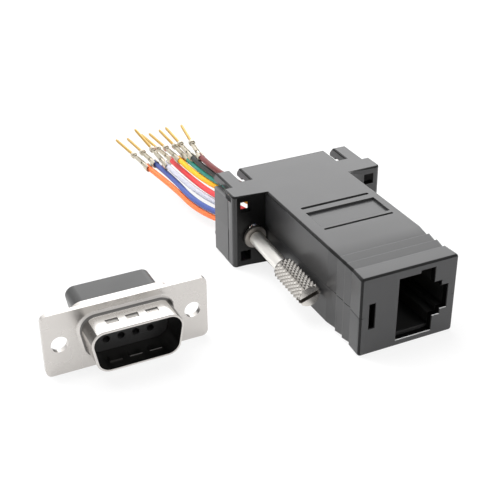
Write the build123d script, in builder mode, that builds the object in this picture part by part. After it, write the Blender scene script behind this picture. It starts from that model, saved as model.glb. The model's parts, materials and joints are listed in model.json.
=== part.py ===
"""Serial adapter kit: a two part hood with a modular jack, eight leads with crimp pins,
two captive thumbscrews, and the empty nine way D connector that snaps into the hood.
Millimetres. +Z up, the jack face looks toward -Y, the leads leave toward +Y.
The origin is the middle of the hood's underside."""
import math
import os

from build123d import *

os.makedirs("parts", exist_ok=True)

# hood, outside
body_width = 19.8
hood_height = 16.28
body_length = 37.74
ear_length = 11.96
lip_run = 1.2
lip_drop = 1.5
body_edge_radius = 0.6
ear_corner_radius = 0.9
face_edge_radius = 0.5

# hood, walls
body_wall = 1.3
face_wall = 1.2
ear_wall = 1.5
bay_roof = 2.1
side_plate = 1.55
side_plate_setback = 2.6
flange_side_gap = 0.045
seam_width = 0.16
seam_depth = 0.12

# grip ridges near the jack face
ridge_depth = 0.3
ridge_pitch = 2.53
ridge_count = 3
ridge_first = 3.85
ridge_lead = 0.86
face_flare = 0.22
flare_land = 0.9

# marks on the roof of the hood
label_width = 15.0
label_depth_y = 5.9
label_sink = 0.45
label_shift_x = 0.46
label_front = 19.95
groove_gap = 1.7
groove_width = 0.6
front_groove_gap = 1.0
front_groove_width = 0.42

# ears
notch_inner_x = 10.15
notch_outer_x = 12.3
notch_run = 5.7
window_size = 2.3
window_inner_x = 13.2
window_edge = 1.4
rabbet_run = 4.65
rabbet_top = 1.61
rabbet_drop = 0.43
side_recess_depth = 0.45
side_recess_run = 4.05
side_recess_front = 1.15
side_groove_front = 2.6
side_groove_width = 0.3
side_groove_depth = 0.2
groove_foot = 0.7

# jack opening in the face, measured from the hood's middle line
mouth_left = 2.3
mouth_right = 5.2
mouth_low = 1.42
mouth_height = 12.9
mouth_step_x = 2.2
mouth_step = 0.57
latch_height = 7.1
latch_run = 1.6
latch_tip_height = 4.95
latch_tip_run = 1.45
face_slot_x = 7.7
face_slot_width = 1.17
face_slot_height = 5.1

# jack insert
insert_left = 6.6
insert_depth = 16.1
plug_width = 11.88
plug_depth = 13.4
fit_gap = 0.2
contact_count = 8
contact_pitch = 1.02
contact_size = 0.42
contact_slot = 0.62
contact_inset = 1.55
contact_nose = 2.6
contact_tip_x = 0.6
contact_tip_run = 11.0
contact_bend = 0.6
clamp_depth = 3.2
clamp_width = 4.8

# connector, nine way
screw_spacing = 24.99
flange_edge = 2.91
flange_height = 12.55
flange_radius = 1.2
flange_hole = 3.15
sheet = 0.5
shell_width = 16.92
shell_height = 8.36
shell_radius = 2.6
shell_reach = 5.84
shell_wall = 0.4
shell_root = 1.0
side_slope = 10.0
rear_width = 19.28
rear_height = 10.72
rear_reach = 2.65
block_width = 16.2
block_height = 9.2
block_radius = 1.7
block_end = 10.2
insulator_lead = 2.9
insulator_gap = 0.05
contact_row_gap = 2.84
contact_hole_pitch = 2.77
front_hole = 1.4
rear_hole = 2.1
dimple_width = 2.3
dimple_run = 1.4
dimple_sink = 0.22
dimple_pitch = 3.7
dimple_out = 3.0
connector_x = -46.7
connector_setback = 18.7

# thumbscrews
droop = 2.5
screw_z = 6.78
head_diameter = 4.9
head_length = 10.75
head_chamfer = 0.55
neck_diameter = 2.95
neck_end = 13.15
shank_diameter = 2.2
shank_run = 3.8
thread_diameter = 2.84
thread_end = 12.5
collar_diameter = 4.75
collar_thickness = 0.72
collar_gap = 0.13
ring_clearance = 0.05
slot_clearance = 0.15
driver_slot = 0.9
driver_slot_depth = 1.2
driver_slot_turn = 19.0

# leads and crimp pins
lead_diameter = 1.25
lead_pitch = 1.38
lead_x = -4.2
pin_length = 15.6
pin_diameter = 0.9
crimp_diameter = 1.65
barrel_diameter = 1.15
shoulder_diameter = 1.5
shoulder_length = 1.1
grip_length = 1.5
sleeve_gap = 0.02
sleeve_end = 0.4

# places that follow from the sizes above
flange_width = screw_spacing + 2 * flange_edge
ear_width = flange_width + 2 * (side_plate + flange_side_gap)
face_y = -(body_length + ear_length) / 2
ear_y = face_y + body_length
plate_y = ear_y + ear_length
rear_y = plate_y + lip_run
mid_z = hood_height / 2
side_plate_y = plate_y - side_plate_setback
tab_half = ear_width / 2 - side_plate
recess_middle = (rabbet_top + rabbet_drop) / 2
bay_y = ear_y + ear_wall
inner_half = body_width / 2 - body_wall
inner_height = hood_height - 2 * body_wall
bay_height = hood_height - 2 * bay_roof
insert_y = face_y + face_wall
insert_back_y = insert_y + insert_depth
clamp_back_y = insert_back_y + clamp_depth
screw_x = screw_spacing / 2
flange_z = flange_height / 2
connector_y = face_y + connector_setback
nose_width = shell_width - 2 * shell_wall
nose_height = shell_height - 2 * shell_wall
band_width = rear_width - 2 * shell_wall
band_height = rear_height - 2 * shell_wall
inner_radius = shell_radius - shell_wall


def across(y):
    """A plane square to the hood's length at this y, looking toward the jack face."""
    return Plane.XZ.offset(-y)


def body_section(grow_x, grow_z):
    """The body's rounded cross section, grown or shrunk, inside a sketch on an across plane."""
    with Locations((0, mid_z)):
        RectangleRounded(body_width + 2 * grow_x, hood_height + 2 * grow_z, body_edge_radius)


def d_corners(width, height, radius):
    """Corners of a D shaped outline, wide side up, whose rounded form is this wide."""
    slope = math.radians(side_slope)
    top = width / 2 + radius * ((1 + math.sin(slope)) / math.cos(slope) - 1)
    low = top - height * math.tan(slope)
    return [(-top, height / 2), (top, height / 2), (low, -height / 2), (-low, -height / 2)]


# the whole hood, before it is parted into its two halves
ridge_starts = [ridge_first + ridge_pitch * (n + 1) for n in range(ridge_count)]
ridge_starts[-1] = ridge_starts[-1] + ridge_lead
with BuildPart() as hood:
    with BuildSketch(across(bay_y)):
        body_section(0, 0)
    extrude(amount=bay_y - face_y - ridge_starts[-1])
    for n in range(ridge_count):
        with BuildSketch(across(face_y + ridge_starts[n])):
            body_section(0, 0)
        with BuildSketch(across(face_y + ridge_first + ridge_pitch * n)):
            body_section(-ridge_depth, -ridge_depth)
        loft()
    with BuildSketch(across(face_y + ridge_first)):
        body_section(0, 0)
    with BuildSketch(across(face_y + flare_land)):
        body_section(face_flare, 0)
    loft()
    with BuildSketch(across(face_y + flare_land)):
        body_section(face_flare, 0)
    extrude(amount=flare_land)
    fillet(hood.faces().sort_by(Axis.Y)[0].outer_wire().edges(), face_edge_radius)

    # ears: side plates, and roof and floor plates with sloped rear lips
    with BuildSketch(Plane.XY):
        with Locations((0, (ear_y + side_plate_y) / 2)):
            Rectangle(ear_width, side_plate_y - ear_y)
    extrude(amount=hood_height)
    fillet(hood.edges().filter_by(Axis.Z).group_by(Axis.X)[0].sort_by(Axis.Y)[0], ear_corner_radius)
    fillet(hood.edges().filter_by(Axis.Z).group_by(Axis.X)[-1].sort_by(Axis.Y)[0], ear_corner_radius)
    with BuildSketch(Plane.YZ):
        with BuildLine():
            Polyline(
                (ear_y + ear_corner_radius, 0),
                (plate_y, 0),
                (rear_y, lip_drop),
                (rear_y, hood_height - lip_drop),
                (plate_y, hood_height),
                (ear_y + ear_corner_radius, hood_height),
                close=True,
            )
        make_face()
    extrude(amount=tab_half, both=True)

    # inside: jack bay and cable channel, connector bay, groove for the connector's flange
    with BuildSketch(across(bay_y)):
        with Locations((0, mid_z)):
            Rectangle(2 * inner_half, inner_height)
    extrude(amount=bay_y - insert_y, mode=Mode.SUBTRACT)
    with BuildSketch(across(rear_y)):
        with Locations((0, mid_z)):
            Rectangle(2 * tab_half, bay_height)
    extrude(amount=rear_y - bay_y, mode=Mode.SUBTRACT)
    with BuildSketch(across(side_plate_y + 2 * sheet + fit_gap)):
        with Locations((0, mid_z)):
            Rectangle(2 * tab_half, flange_height + 2 * fit_gap)
    extrude(amount=2 * sheet + 2 * fit_gap, mode=Mode.SUBTRACT)

    # notches that free the snap tongue in the roof and the floor
    with BuildSketch(Plane.XY):
        for side in (-1, 1):
            with Locations((side * (notch_inner_x + notch_outer_x) / 2, rear_y - (notch_run + lip_run) / 2)):
                Rectangle(notch_outer_x - notch_inner_x, notch_run + lip_run)
    extrude(amount=hood_height, mode=Mode.SUBTRACT)

    # square windows through the ears' front walls, with their channels in roof and floor
    with BuildSketch(across(side_plate_y - fit_gap)):
        for side in (-1, 1):
            for z in (window_edge + window_size / 2, hood_height - window_edge - window_size / 2):
                with Locations((side * (window_inner_x + tab_half) / 2, z)):
                    Rectangle(tab_half - window_inner_x, window_size)
    extrude(amount=side_plate_y - ear_y + ear_wall, mode=Mode.SUBTRACT)

    # upright slots that the thumbscrew shanks hang in
    with BuildSketch(across(bay_y)):
        for side in (-1, 1):
            with Locations((side * screw_x, (screw_z + mid_z) / 2)):
                SlotCenterToCenter(mid_z - screw_z, shank_diameter + 2 * slot_clearance, rotation=90)
    extrude(amount=2 * ear_wall, mode=Mode.SUBTRACT)

    # rabbets, side recesses and upright grooves outside the ears
    for side in (-1, 1):
        with BuildSketch(Plane.YZ.offset(side * (tab_half + side_plate / 2))):
            with Locations((side_plate_y - rabbet_run / 2, rabbet_drop / 2)):
                Rectangle(rabbet_run, rabbet_drop)
            with Locations((side_plate_y - rabbet_run / 2, hood_height - rabbet_top / 2)):
                Rectangle(rabbet_run, rabbet_top)
        extrude(amount=side_plate / 2, both=True, mode=Mode.SUBTRACT)
        with BuildSketch(Plane.YZ.offset(side * ear_width / 2)):
            with Locations((ear_y + side_recess_front + side_recess_run / 2, hood_height - recess_middle)):
                Rectangle(side_recess_run, rabbet_top - rabbet_drop)
        extrude(amount=side_recess_depth, both=True, mode=Mode.SUBTRACT)
        with BuildSketch(Plane.YZ.offset(side * ear_width / 2)):
            with Locations((ear_y + side_groove_front, (groove_foot + hood_height - rabbet_top) / 2)):
                Rectangle(side_groove_width, hood_height - rabbet_top - groove_foot)
        extrude(amount=side_groove_depth, both=True, mode=Mode.SUBTRACT)

    # label pocket between two cross grooves on the roof
    with BuildSketch(Plane.XY.offset(hood_height)):
        with Locations((label_shift_x, face_y + label_front + label_depth_y / 2)):
            Rectangle(label_width, label_depth_y)
    extrude(amount=-label_sink, mode=Mode.SUBTRACT)
    with BuildSketch(Plane.XY.offset(hood_height)):
        with Locations((label_shift_x, face_y + label_front + label_depth_y + groove_gap + groove_width / 2)):
            SlotOverall(label_width, groove_width)
        with Locations((label_shift_x, face_y + label_front - front_groove_gap - front_groove_width / 2)):
            SlotOverall(label_width, front_groove_width)
    extrude(amount=-label_sink, mode=Mode.SUBTRACT)

    # jack opening, with its stepped latch slot, and the narrow slot beside it
    with BuildSketch(across(face_y)):
        with Locations(((mouth_right - mouth_left) / 2, mouth_low + mouth_height / 2)):
            Rectangle(mouth_left + mouth_right, mouth_height)
        with Locations(((mouth_step_x + mouth_right) / 2, mouth_low + (mouth_height + mouth_step) / 2)):
            Rectangle(mouth_right - mouth_step_x, mouth_height + mouth_step)
        with Locations((mouth_right + latch_run / 2, mid_z)):
            Rectangle(latch_run, latch_height)
        with Locations((mouth_right + latch_run + latch_tip_run / 2, mid_z)):
            Rectangle(latch_tip_run, latch_tip_height)
        with Locations((-face_slot_x, mid_z)):
            Rectangle(face_slot_width, face_slot_height)
    extrude(amount=-face_wall, mode=Mode.SUBTRACT)

    # fine parting line along the body's sides
    with BuildSketch(across(ear_y)):
        with Locations((0, mid_z)):
            Rectangle(body_width + 4 * face_flare, seam_width)
            Rectangle(body_width - 2 * seam_depth, seam_width, mode=Mode.SUBTRACT)
    extrude(amount=ear_y - face_y - face_edge_radius, mode=Mode.SUBTRACT)

    # stop ribs behind the jack insert and a rest rib beside it
    with BuildSketch(across(insert_back_y + fit_gap / 2)):
        for side, reach in ((-1, inner_half - insert_left - fit_gap), (1, body_wall)):
            with Locations((side * (inner_half - reach / 2), mid_z)):
                Rectangle(reach, inner_height)
    extrude(amount=-body_wall)
    with BuildSketch(across(insert_y + insert_depth / 2 + body_wall)):
        with Locations((-(inner_half + insert_left + fit_gap) / 2, mid_z)):
            Rectangle(inner_half - insert_left - fit_gap, inner_height)
    extrude(amount=2 * body_wall)

with BuildPart() as hood_upper:
    add(hood.part)
    split(bisect_by=Plane.XY.offset(mid_z), keep=Keep.TOP)

with BuildPart() as hood_lower:
    add(hood.part)
    split(bisect_by=Plane.XY.offset(mid_z), keep=Keep.BOTTOM)

# jack insert, a moulded block with the plug cavity, latch slot and contact slots
insert_right = inner_half - fit_gap
insert_height = inner_height - 2 * fit_gap
contact_x = -mouth_left - contact_inset
contact_zs = [mid_z + (n - (contact_count - 1) / 2) * contact_pitch for n in range(contact_count)]
with BuildPart() as jack_insert:
    with BuildSketch(across(insert_back_y)):
        with Locations(((insert_right - insert_left) / 2, mid_z)):
            Rectangle(insert_left + insert_right, insert_height)
    extrude(amount=insert_depth - fit_gap / 4)
    with BuildSketch(across(insert_y + plug_depth)):
        with Locations(((mouth_right - mouth_left) / 2, mid_z)):
            Rectangle(mouth_left + mouth_right, plug_width)
        with Locations((mouth_right + latch_run / 2, mid_z)):
            Rectangle(latch_run, latch_height)
        with Locations((mouth_right + latch_run + latch_tip_run / 2, mid_z)):
            Rectangle(latch_tip_run, latch_tip_height)
    extrude(amount=plug_depth, mode=Mode.SUBTRACT)
    with BuildSketch(across(insert_y + plug_depth)):
        for z in contact_zs:
            with Locations((-mouth_left - contact_inset / 2 - contact_size / 2, z)):
                Rectangle(contact_inset + contact_size, contact_slot)
    extrude(amount=plug_depth - contact_nose + contact_bend, mode=Mode.SUBTRACT)
    with BuildSketch(across(insert_back_y)):
        for z in contact_zs:
            with Locations((contact_x, z)):
                Rectangle(contact_slot, contact_slot)
    extrude(amount=insert_depth - plug_depth, mode=Mode.SUBTRACT)

# block that clamps the leads behind the insert
clamp_x = lead_x
with BuildPart() as jack_clamp:
    with BuildSketch(across(clamp_back_y)):
        with Locations((clamp_x, mid_z)):
            Rectangle(clamp_width, insert_height)
    extrude(amount=clamp_depth)
    chamfer(jack_clamp.faces().sort_by(Axis.Y)[-1].edges().filter_by(Axis.Z), 4 * fit_gap)

# sprung contacts, each folded back into the plug cavity
contacts = []
for n, z in enumerate(contact_zs):
    nose_y = insert_y + contact_nose
    with BuildPart() as contact:
        with BuildLine() as run:
            FilletPolyline(
                (contact_x, insert_back_y, z),
                (contact_x, nose_y, z),
                (contact_tip_x, insert_y + contact_tip_run, z),
                radius=contact_bend,
            )
        with BuildSketch(Plane(origin=run.line @ 0, z_dir=run.line % 0, x_dir=(0, 0, 1))):
            Rectangle(contact_size, contact_size)
        sweep()
    contacts.append((f"jack_contact_{n + 1}", contact.part))

# thumbscrews: knurled head, neck, shank through the ear and threaded end
for name, side in (("left", -1), ("right", 1)):
    tilt = math.radians(droop)
    forward = (0, -math.cos(tilt), -math.sin(tilt))
    axis_plane = Plane(origin=(side * screw_x, ear_y, screw_z), x_dir=(1, 0, 0), z_dir=forward)
    with BuildPart() as thumbscrew:
        with BuildSketch(axis_plane.offset(-thread_end)):
            Circle(thread_diameter / 2)
        extrude(amount=thread_end - shank_run)
        chamfer(thumbscrew.edges().sort_by(Axis.Y)[-1], (thread_diameter - shank_diameter) / 2)
        with BuildSketch(axis_plane.offset(-shank_run)):
            Circle(shank_diameter / 2)
        extrude(amount=shank_run + collar_gap + collar_thickness + ring_clearance)
        with BuildSketch(axis_plane.offset(collar_gap + collar_thickness + ring_clearance)):
            Circle(neck_diameter / 2)
        extrude(amount=neck_end - collar_gap - collar_thickness - ring_clearance)
        with BuildSketch(axis_plane.offset(neck_end)):
            Circle(head_diameter / 2)
        extrude(amount=head_length)
        rims = thumbscrew.edges().filter_by(GeomType.CIRCLE).filter_by(
            lambda e: abs(e.radius - head_diameter / 2) < head_chamfer / 10
        )
        chamfer(rims, head_chamfer)
        with BuildSketch(axis_plane.offset(neck_end + head_length)):
            Rectangle(head_diameter, driver_slot, rotation=driver_slot_turn)
        extrude(amount=-driver_slot_depth, mode=Mode.SUBTRACT)
    thumbscrew.part.label = f"thumbscrew_{name}"
    export_step(thumbscrew.part, f"parts/thumbscrew_{name}.step")
    with BuildPart() as collar:
        with BuildSketch(axis_plane.offset(collar_gap)):
            Circle(collar_diameter / 2)
            Circle(shank_diameter / 2 + ring_clearance, mode=Mode.SUBTRACT)
        extrude(amount=collar_thickness)
    collar.part.label = f"thumbscrew_collar_{name}"
    export_step(collar.part, f"parts/thumbscrew_collar_{name}.step")

# connector, standing on its flange's lower edge beside the hood
seat = Plane(origin=(connector_x, connector_y, flange_z), x_dir=(1, 0, 0), z_dir=(0, -1, 0))
row_spots = [((n - 2) * contact_hole_pitch, contact_row_gap / 2) for n in range(5)]
row_spots += [((n - 1.5) * contact_hole_pitch, -contact_row_gap / 2) for n in range(4)]
with BuildPart() as shell_front:
    with BuildSketch(seat.offset(-sheet)):
        RectangleRounded(flange_width, flange_height, flange_radius)
    extrude(amount=sheet)
    with BuildSketch(seat) as nose:
        Polygon(*d_corners(shell_width, shell_height, shell_radius), align=None)
        fillet(nose.vertices(), shell_radius)
    extrude(amount=shell_reach)
    root = shell_front.edges().filter_by(
        lambda e: abs(e.center().Y - connector_y) < 1e-4 and abs(e.center().X - connector_x) < shell_width / 2 + 0.01
    )
    fillet(root.filter_by(lambda e: abs(e.center().Z - flange_z) < shell_height / 2 + 0.01), shell_root)
    fillet(shell_front.faces().sort_by(Axis.Y)[0].edges(), shell_wall / 2)
    with BuildSketch(seat.offset(shell_reach)) as hollow:
        Polygon(*d_corners(nose_width, nose_height, inner_radius), align=None)
        fillet(hollow.vertices(), inner_radius)
    extrude(amount=-shell_reach - sheet, mode=Mode.SUBTRACT)
    with BuildSketch(seat):
        with GridLocations(screw_spacing, 0, 2, 1):
            Circle(flange_hole / 2)
    extrude(amount=-sheet, mode=Mode.SUBTRACT)
    for side in (-1, 1):
        face_z = flange_z + side * shell_height / 2
        with BuildSketch(Plane.XY.offset(face_z - side * (shell_wall + dimple_sink))):
            with Locations((connector_x, connector_y - dimple_out)):
                with GridLocations(dimple_pitch, 0, 3, 1):
                    Rectangle(dimple_width, dimple_run)
        extrude(amount=side * shell_wall)
        with BuildSketch(Plane.XY.offset(face_z)):
            with Locations((connector_x, connector_y - dimple_out)):
                with GridLocations(dimple_pitch, 0, 3, 1):
                    Rectangle(dimple_width, dimple_run)
        extrude(amount=-side * dimple_sink, mode=Mode.SUBTRACT)

with BuildPart() as shell_rear:
    with BuildSketch(seat.offset(-2 * sheet)):
        RectangleRounded(flange_width, flange_height, flange_radius)
    extrude(amount=sheet)
    with BuildSketch(seat.offset(-2 * sheet)) as band:
        Polygon(*d_corners(rear_width, rear_height, shell_radius), align=None)
        fillet(band.vertices(), shell_radius)
    extrude(amount=-rear_reach)
    fillet(shell_rear.faces().sort_by(Axis.Y)[-1].edges(), shell_wall / 2)
    with BuildSketch(seat.offset(-sheet)) as hollow:
        Polygon(*d_corners(band_width, band_height, inner_radius), align=None)
        fillet(hollow.vertices(), inner_radius)
    extrude(amount=-rear_reach - sheet, mode=Mode.SUBTRACT)
    with BuildSketch(seat.offset(-sheet)):
        with GridLocations(screw_spacing, 0, 2, 1):
            Circle(flange_hole / 2)
    extrude(amount=-sheet, mode=Mode.SUBTRACT)

with BuildPart() as insulator_front:
    with BuildSketch(seat.offset(-2 * sheet)) as face_block:
        Polygon(
            *d_corners(nose_width - 2 * insulator_gap, nose_height - 2 * insulator_gap, inner_radius), align=None
        )
        fillet(face_block.vertices(), inner_radius)
    extrude(amount=2 * sheet + dimple_out - dimple_run)
    with BuildSketch(seat) as face_land:
        Polygon(*d_corners(nose_width - 4 * dimple_sink, nose_height - 4 * dimple_sink, inner_radius), align=None)
        fillet(face_land.vertices(), inner_radius)
    extrude(amount=insulator_lead)
    with BuildSketch(seat.offset(insulator_lead)):
        with Locations(*row_spots):
            Circle(front_hole / 2)
    extrude(amount=-2 * sheet - insulator_lead, mode=Mode.SUBTRACT)

with BuildPart() as insulator_rear:
    with BuildSketch(seat.offset(-2 * sheet)) as wide_block:
        Polygon(
            *d_corners(band_width - 2 * insulator_gap, band_height - 2 * insulator_gap, inner_radius), align=None
        )
        fillet(wide_block.vertices(), inner_radius)
    extrude(amount=-rear_reach)
    with BuildSketch(seat.offset(-2 * sheet - rear_reach)) as end_block:
        Polygon(*d_corners(block_width, block_height, block_radius), align=None)
        fillet(end_block.vertices(), block_radius)
    extrude(amount=-block_end + 2 * sheet + rear_reach)
    with BuildSketch(seat):
        with Locations(*row_spots):
            Circle(rear_hole / 2)
    extrude(amount=-block_end, mode=Mode.SUBTRACT)

# leads: straight runs joined by tangent arcs, then a crimp pin on each end
lead_routes = {
    "orange": ([(-6.0, 9.15, 3.18), (-11.6, 24.65, 2.99), (-15.6, 35.85, 2.5), (-16.6, 46.05, 3.7), (-19.3, 56.35, 5.2)],
               (-21.29, 71.79, 6.13)),
    "blue": ([(-6.1, 9.15, 4.56), (-11.3, 24.65, 4.37), (-15.4, 36.05, 3.9), (-16.1, 48.45, 5.2), (-17.7, 55.75, 6.1)],
             (-18.56, 71.33, 6.12)),
    "white": ([(-6.3, 9.15, 5.96), (-10.3, 24.65, 5.78), (-14.6, 38.45, 5.4), (-16.5, 51.45, 7.4)],
              (-18.04, 66.71, 10.27)),
    "red": ([(-6.3, 9.15, 7.3), (-10.3, 24.65, 7.12), (-13.7, 38.75, 6.65), (-13.0, 57.25, 5.4)],
            (-14.42, 72.78, 5.8)),
    "yellow": ([(-6.3, 9.15, 8.69), (-8.2, 24.65, 8.48), (-13.1, 38.65, 8.0), (-13.3, 51.35, 8.06)],
               (-14.42, 66.91, 8.39)),
    "green": ([(-6.3, 9.15, 10.05), (-9.2, 24.65, 9.83), (-12.4, 38.65, 9.3), (-11.7, 50.05, 8.4)],
              (-12.28, 65.61, 9.4)),
    "black": ([(-6.3, 9.15, 11.43), (-9.8, 24.65, 11.2), (-12.2, 37.95, 10.6), (-11.8, 46.95, 10.25)],
              (-11.74, 62.52, 11.15)),
    "brown": ([(-6.3, 9.15, 12.81), (-9.9, 24.65, 12.62), (-11.7, 34.95, 12.1), (-11.0, 43.75, 11.5)],
              (-9.07, 59.19, 12.57)),
}
for n, (name, (points, tip)) in enumerate(lead_routes.items()):
    start = (lead_x, clamp_back_y, mid_z + (n - (len(lead_routes) - 1) / 2) * lead_pitch)
    route = [Vector(*start)] + [Vector(*p) for p in points]
    route[0] = route[0] + (route[0] - route[1]).normalized() * lead_diameter
    radii = []
    for a, b, c in zip(route, route[1:], route[2:]):
        turn = math.radians((b - a).get_angle(c - b))
        radii.append(0.45 * min((b - a).length, (c - b).length) / math.tan(turn / 2))
    with BuildPart() as lead:
        with BuildLine() as path:
            FilletPolyline(*route, radius=radii)
        with BuildSketch(Plane(origin=path.line @ 0, z_dir=path.line % 0)):
            Circle(lead_diameter / 2)
        sweep()
        split(bisect_by=across(clamp_back_y), keep=Keep.BOTTOM)
    section = math.pi * (lead_diameter / 2) ** 2
    length = path.wire().length - lead_diameter
    share = lead.part.volume / (section * length)
    print(name, "radii", [round(r) for r in radii], "length", round(length, 1), "volume share", round(share, 3))
    lead.part.label = f"lead_{name}"
    export_step(lead.part, f"parts/lead_{name}.step")

    # crimp pin: sleeve gripping the insulation, bare conductor crimp, shoulder and round nosed pin
    lead_end = path.line @ 1
    end_plane = Plane(origin=lead_end, z_dir=path.line % 1)
    toward = (Vector(*tip) - lead_end).normalized()
    pin_plane = Plane(origin=lead_end, z_dir=toward)
    half = pin_length / 2
    with BuildPart() as pin:
        with BuildSketch(end_plane.offset(-grip_length)):
            Circle(crimp_diameter / 2)
        extrude(amount=grip_length + sleeve_end)
        with BuildSketch(pin_plane):
            Circle(barrel_diameter / 2)
        extrude(amount=half)
        with BuildSketch(pin_plane.offset(half - shoulder_length)):
            Circle(shoulder_diameter / 2)
        extrude(amount=shoulder_length)
        with BuildSketch(pin_plane.offset(half)):
            Circle(pin_diameter / 2)
        extrude(amount=half)
        chamfer(pin.edges().filter_by(GeomType.CIRCLE).sort_by_distance(Vector(*tip))[0], pin_diameter / 4)
        with BuildSketch(end_plane.offset(-2 * grip_length)):
            Circle(lead_diameter / 2 + sleeve_gap)
        extrude(amount=2 * grip_length + sleeve_gap, mode=Mode.SUBTRACT)
    pin.part.label = f"pin_{name}"
    export_step(pin.part, f"parts/pin_{name}.step")

for name, part in [
    ("hood_upper", hood_upper.part),
    ("hood_lower", hood_lower.part),
    ("jack_insert", jack_insert.part),
    ("jack_clamp", jack_clamp.part),
    ("connector_shell_front", shell_front.part),
    ("connector_shell_rear", shell_rear.part),
    ("connector_insulator_front", insulator_front.part),
    ("connector_insulator_rear", insulator_rear.part),
] + contacts:
    part.label = name
    export_step(part, f"parts/{name}.step")
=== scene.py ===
"""Looks for the serial adapter kit: hood, jack, leads with crimp pins, thumbscrews, loose connector."""
import json
import math

import bpy
from mathutils import Matrix, Vector


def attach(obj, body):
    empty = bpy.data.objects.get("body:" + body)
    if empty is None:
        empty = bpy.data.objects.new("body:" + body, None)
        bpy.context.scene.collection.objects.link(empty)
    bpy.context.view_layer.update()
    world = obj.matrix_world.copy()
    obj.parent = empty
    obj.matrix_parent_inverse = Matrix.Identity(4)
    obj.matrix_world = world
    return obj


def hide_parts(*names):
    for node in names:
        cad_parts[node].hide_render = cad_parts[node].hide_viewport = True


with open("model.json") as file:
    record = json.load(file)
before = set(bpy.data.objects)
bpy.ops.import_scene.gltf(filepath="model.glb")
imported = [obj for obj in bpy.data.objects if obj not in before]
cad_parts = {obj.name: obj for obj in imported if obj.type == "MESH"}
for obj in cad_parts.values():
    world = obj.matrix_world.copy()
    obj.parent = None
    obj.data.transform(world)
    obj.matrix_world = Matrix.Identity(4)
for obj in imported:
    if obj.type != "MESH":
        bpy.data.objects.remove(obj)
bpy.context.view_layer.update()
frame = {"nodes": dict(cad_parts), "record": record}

MM = 0.001
scene = bpy.context.scene
scene.view_settings.view_transform = "Standard"
nodes = frame["nodes"]
bodies = frame["record"]["behaviour"]["bodies"]


# hand tools


def put_down():
    """Nothing is selected."""
    if bpy.context.object and bpy.context.object.mode != "OBJECT":
        bpy.ops.object.mode_set(mode="OBJECT")
    bpy.ops.object.select_all(action="DESELECT")


def take(piece):
    """Only this piece is selected and active."""
    put_down()
    piece.select_set(True)
    bpy.context.view_layer.objects.active = piece
    return piece


def fresh(name):
    """Names the active piece, such as a primitive just added, and takes it up."""
    piece = bpy.context.object
    piece.name = name
    piece.data.name = name
    return take(piece)


def settle(piece):
    """The piece's place goes into its mesh, so that its object sits at the origin."""
    take(piece)
    bpy.ops.object.transform_apply(location=True, rotation=True, scale=True)
    return piece


def apply_all(piece):
    """Every modifier is applied, in order."""
    take(piece)
    for modifier in list(piece.modifiers):
        bpy.ops.object.modifier_apply(modifier=modifier.name)
    return piece


def outward(piece):
    """Doubles are merged and faces point outward."""
    take(piece)
    bpy.ops.object.mode_set(mode="EDIT")
    bpy.ops.mesh.select_all(action="SELECT")
    bpy.ops.mesh.remove_doubles(threshold=0.002 * MM)
    bpy.ops.mesh.normals_make_consistent(inside=False)
    bpy.ops.object.mode_set(mode="OBJECT")
    return piece


def pick(piece, kind, wanted):
    """Selects the faces or vertices that the test wants, and leaves the piece in edit mode."""
    take(piece)
    bpy.ops.object.mode_set(mode="EDIT")
    bpy.ops.mesh.select_mode(type=kind)
    bpy.ops.mesh.select_all(action="DESELECT")
    bpy.ops.object.mode_set(mode="OBJECT")
    for item in piece.data.polygons if kind == "FACE" else piece.data.vertices:
        item.select = wanted(item)
    bpy.ops.object.mode_set(mode="EDIT")


def squeeze(piece, wanted, share):
    """Draws the vertices that the test wants in toward the Z axis, to a share of their radius."""
    pick(piece, "VERT", wanted)
    bpy.ops.transform.resize(value=(share, share, 1), center_override=(0, 0, 0))
    bpy.ops.object.mode_set(mode="OBJECT")


def smooth(piece, angle=35):
    """Smooth shading that breaks at sharp edges."""
    take(piece)
    bpy.ops.object.shade_smooth_by_angle(angle=math.radians(angle))
    return piece


def join(name, parts):
    """Several pieces become one."""
    put_down()
    for part in parts:
        part.select_set(True)
    bpy.context.view_layer.objects.active = parts[0]
    bpy.ops.object.join()
    return fresh(name)


def copy_of(piece, name):
    """A copy with its own mesh."""
    twin = piece.copy()
    twin.data = piece.data.copy()
    twin.name = name
    twin.data.name = name
    scene.collection.objects.link(twin)
    return twin


# shader groups


def group(name, inputs, outputs):
    """An empty shader group with these sockets, and its two end nodes."""
    tree = bpy.data.node_groups.new(name, "ShaderNodeTree")
    for label, kind, value in inputs:
        socket = tree.interface.new_socket(label, in_out="INPUT", socket_type=kind)
        socket.default_value = value
    for label, kind in outputs:
        tree.interface.new_socket(label, in_out="OUTPUT", socket_type=kind)
    return tree, tree.nodes.new("NodeGroupInput"), tree.nodes.new("NodeGroupOutput")


def moulded_grain():
    """Fine spark eroded grain of a moulding, as a bumped normal."""
    tree, come, go = group(
        "moulded grain",
        [("Scale", "NodeSocketFloat", 6000.0), ("Strength", "NodeSocketFloat", 0.2),
         ("Depth", "NodeSocketFloat", 0.00003)],
        [("Normal", "NodeSocketVector")],
    )
    place = tree.nodes.new("ShaderNodeTexCoord")
    fine = tree.nodes.new("ShaderNodeTexNoise")
    fine.inputs["Detail"].default_value = 3.0
    fine.inputs["Roughness"].default_value = 0.6
    bump = tree.nodes.new("ShaderNodeBump")
    link = tree.links.new
    link(place.outputs["Object"], fine.inputs["Vector"])
    link(come.outputs["Scale"], fine.inputs["Scale"])
    link(fine.outputs["Fac"], bump.inputs["Height"])
    link(come.outputs["Strength"], bump.inputs["Strength"])
    link(come.outputs["Depth"], bump.inputs["Distance"])
    link(bump.outputs["Normal"], go.inputs["Normal"])
    return tree


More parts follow.
